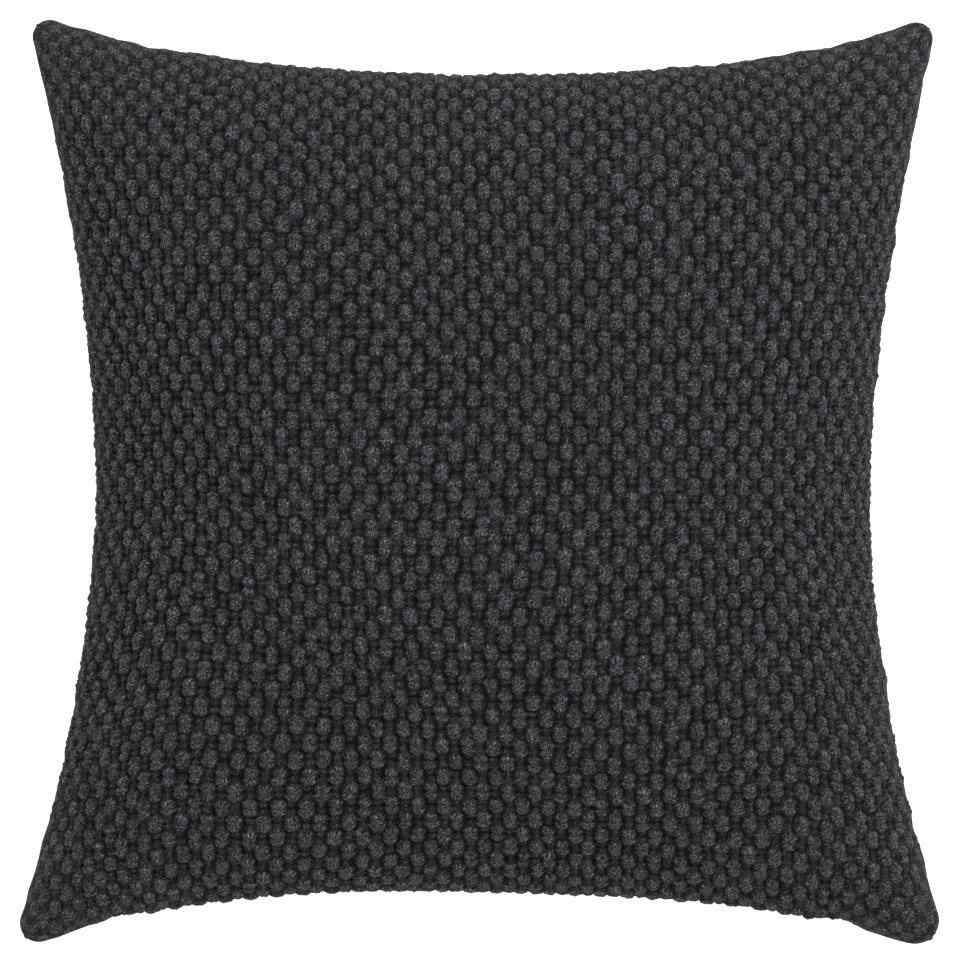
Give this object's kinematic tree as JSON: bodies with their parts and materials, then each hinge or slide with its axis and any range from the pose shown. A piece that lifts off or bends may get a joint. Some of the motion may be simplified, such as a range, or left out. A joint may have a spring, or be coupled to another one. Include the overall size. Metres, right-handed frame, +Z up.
{
  "type": "throw pillow",
  "caption": "Square knife-edge throw pillow in a nubby charcoal weave, with a zipped cover round a filled inner cushion.",
  "frame": {"origin": "centre of the flat patch that the pillow's back rests on, under the middle of its outline", "axes": "+X to the pillow's right and +Y to its top edge, seen facing its front; +Z up, out of its front"},
  "size_m": [0.5, 0.5, 0.179],
  "materials": {
    "charcoal_weave": "matte",
    "charcoal_thread": "matte",
    "zipper_tape": "matte",
    "nylon_coil": "satin",
    "dark_steel": "satin",
    "white_cotton": "matte",
    "white_thread": "matte",
    "label_satin": "satin",
    "polyester_fibre": "matte"
  },
  "bodies": {
    "pillow": {"cover_front_panel": "charcoal_weave", "cover_back_panel": "charcoal_weave", "seam_thread_top": "charcoal_thread", "seam_thread_left": "charcoal_thread", "seam_thread_right": "charcoal_thread", "seam_thread_bottom_left": "charcoal_thread", "seam_thread_bottom_right": "charcoal_thread", "care_label": "label_satin", "zipper_tape_front": "zipper_tape", "zipper_tape_back": "zipper_tape", "zipper_coil_front": "nylon_coil", "zipper_coil_back": "nylon_coil", "zipper_top_stop_front": "dark_steel", "zipper_top_stop_back": "dark_steel", "zipper_bottom_stop": "dark_steel", "insert_front_panel": "white_cotton", "insert_back_panel": "white_cotton", "insert_seam_thread": "white_thread", "insert_closing_stitch": "white_thread", "insert_label": "label_satin", "insert_fill": "polyester_fibre"},
    "slider": {"zipper_slider": "dark_steel"},
    "pull": {"zipper_pull": "dark_steel"}
  },
  "joints": [
    {"name": "zipper_slide", "type": "slide", "parent": "pillow", "child": "slider", "axis": [1, 0, 0], "range_m": [-0.28, 0]},
    {"name": "pull_swing", "type": "hinge", "parent": "slider", "child": "pull", "pos_m": [0.14, -0.226, 0.082], "axis": [0, 0, 1], "range_deg": [0, 140]}
  ]
}
